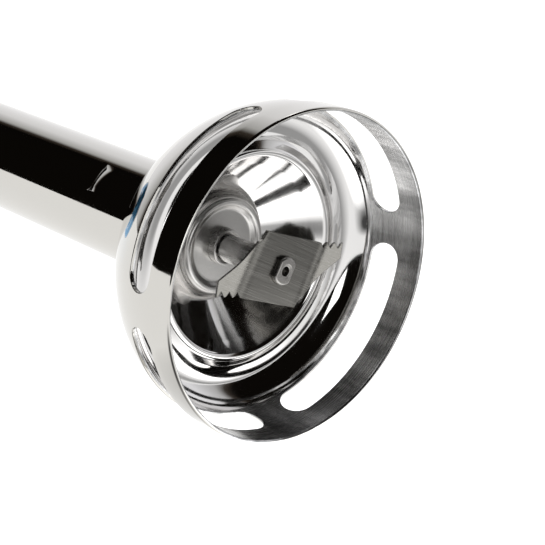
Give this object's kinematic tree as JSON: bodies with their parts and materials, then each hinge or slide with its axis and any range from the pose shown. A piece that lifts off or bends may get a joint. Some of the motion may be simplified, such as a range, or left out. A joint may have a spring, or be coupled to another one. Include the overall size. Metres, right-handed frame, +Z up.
{
  "type": "immersion blender",
  "caption": "Immersion blender with a detachable steel rod, slotted bell guard, bent two-wing blade, motor handle, two buttons and a speed dial.",
  "frame": {"origin": "middle of the bounding box, on the surface the blender lies on", "axes": "+X along the tool axis towards the bell's mouth, +Z up towards the buttons, with the tool axis at z = 34 mm"},
  "size_m": [0.39, 0.068, 0.068],
  "materials": {
    "polished_steel": "mirror-polished 18/8 stainless steel",
    "turned_steel": "fine-turned stainless steel",
    "ground_steel": "centreless-ground stainless steel",
    "blade_steel": "brushed hardened stainless steel",
    "spring_steel": "zinc-plated and spring steel",
    "bearing_steel": "ground bearing steel",
    "chrome_trim": "bright chrome plating",
    "pearl_blue_plastic": "pearl light blue, high gloss",
    "soft_grip_rubber": "soft-touch moulded grip",
    "black_rubber": "moulded black rubber",
    "dark_plastic": "fine-textured dark grey plastic",
    "button_grey": "satin light grey plastic",
    "nylon": "glass-filled natural nylon",
    "sintered_bronze": "oil-filled sintered bronze",
    "die_cast_aluminium": "die-cast aluminium",
    "laminated_steel": "varnished laminated electrical steel",
    "enamelled_copper": "enamelled copper winding",
    "commutator_copper": "bare copper bars",
    "carbon": "pressed carbon",
    "circuit_board_green": "green solder mask",
    "capacitor_yellow": "yellow film capacitor case"
  },
  "bodies": {
    "motor_unit": {"front_shell": "pearl_blue_plastic", "back_shell": "pearl_blue_plastic", "back_grip": "soft_grip_rubber", "button_panel": "dark_plastic", "end_cap": "pearl_blue_plastic", "cord_gland": "black_rubber", "socket_ring": "dark_plastic", "socket_trim": "chrome_trim", "motor_front_bracket": "die_cast_aluminium", "motor_rear_bracket": "die_cast_aluminium", "front_bearing": "bearing_steel", "rear_bearing": "bearing_steel", "stator_core": "laminated_steel", "field_coils": "enamelled_copper", "motor_bolts": "spring_steel", "brush_holders": "dark_plastic", "carbon_brushes": "carbon", "brush_springs": "spring_steel", "circuit_board": "circuit_board_green", "micro_switches": "dark_plastic", "mains_capacitor": "capacitor_yellow", "heat_sink": "die_cast_aluminium", "speed_control": "dark_plastic", "housing_screws": "spring_steel", "speed_button_spring": "spring_steel", "turbo_button_spring": "spring_steel"},
    "rod": {"bell_guard": "polished_steel", "bell_liner": "polished_steel", "bush_carrier": "turned_steel", "lower_bush": "turned_steel", "shaft_seal": "black_rubber", "thrust_washer": "spring_steel", "shaft_tube": "polished_steel", "rod_collar": "pearl_blue_plastic", "collar_trim": "chrome_trim", "upper_bush": "sintered_bronze"},
    "blade_train": {"drive_shaft": "ground_steel", "blade": "blade_steel", "shaft_circlip": "spring_steel", "driven_coupling": "nylon"},
    "motor_train": {"motor_shaft": "ground_steel", "rotor_core": "laminated_steel", "rotor_windings": "enamelled_copper", "commutator": "commutator_copper", "cooling_fan": "nylon", "drive_coupling": "nylon"},
    "speed_button": {"speed_button": "button_grey"},
    "turbo_button": {"turbo_button": "button_grey"},
    "release_button_left": {"release_button_left": "button_grey"},
    "release_button_right": {"release_button_right": "button_grey"},
    "speed_dial": {"speed_dial": "button_grey"}
  },
  "joints": [
    {"name": "rod_release", "type": "slide", "parent": "motor_unit", "child": "rod", "axis": [1, 0, 0], "range_m": [0, 0.05]},
    {"name": "motor_spin", "type": "hinge", "parent": "motor_unit", "child": "motor_train", "pos_m": [-0.08, 0, 0.034], "axis": [1, 0, 0], "continuous": true},
    {"name": "blade_spin", "type": "hinge", "parent": "rod", "child": "blade_train", "pos_m": [0.1, 0, 0.034], "axis": [1, 0, 0], "continuous": true},
    {"name": "speed_button_press", "type": "slide", "parent": "motor_unit", "child": "speed_button", "axis": [0, 0, -1], "range_m": [0, 0.0016], "stiffness_N_per_m": 1200, "springref_m": -0.001, "deforming": ["speed_button_spring"]},
    {"name": "turbo_button_press", "type": "slide", "parent": "motor_unit", "child": "turbo_button", "axis": [0, 0, -1], "range_m": [0, 0.0016], "stiffness_N_per_m": 1200, "springref_m": -0.001, "deforming": ["turbo_button_spring"]},
    {"name": "release_left_press", "type": "slide", "parent": "motor_unit", "child": "release_button_left", "axis": [0, -1, 0], "range_m": [0, 0.0015], "stiffness_N_per_m": 2000, "springref_m": -0.001},
    {"name": "release_right_press", "type": "slide", "parent": "motor_unit", "child": "release_button_right", "axis": [0, 1, 0], "range_m": [0, 0.0015], "stiffness_N_per_m": 2000, "springref_m": -0.001},
    {"name": "dial_turn", "type": "hinge", "parent": "motor_unit", "child": "speed_dial", "pos_m": [-0.185, 0, 0.0385], "axis": [1, 0, 0], "range_deg": [-135, 135]}
  ],
  "couplings": [
    {"joint": "blade_spin", "follows": "motor_spin", "ratio": 1}
  ]
}
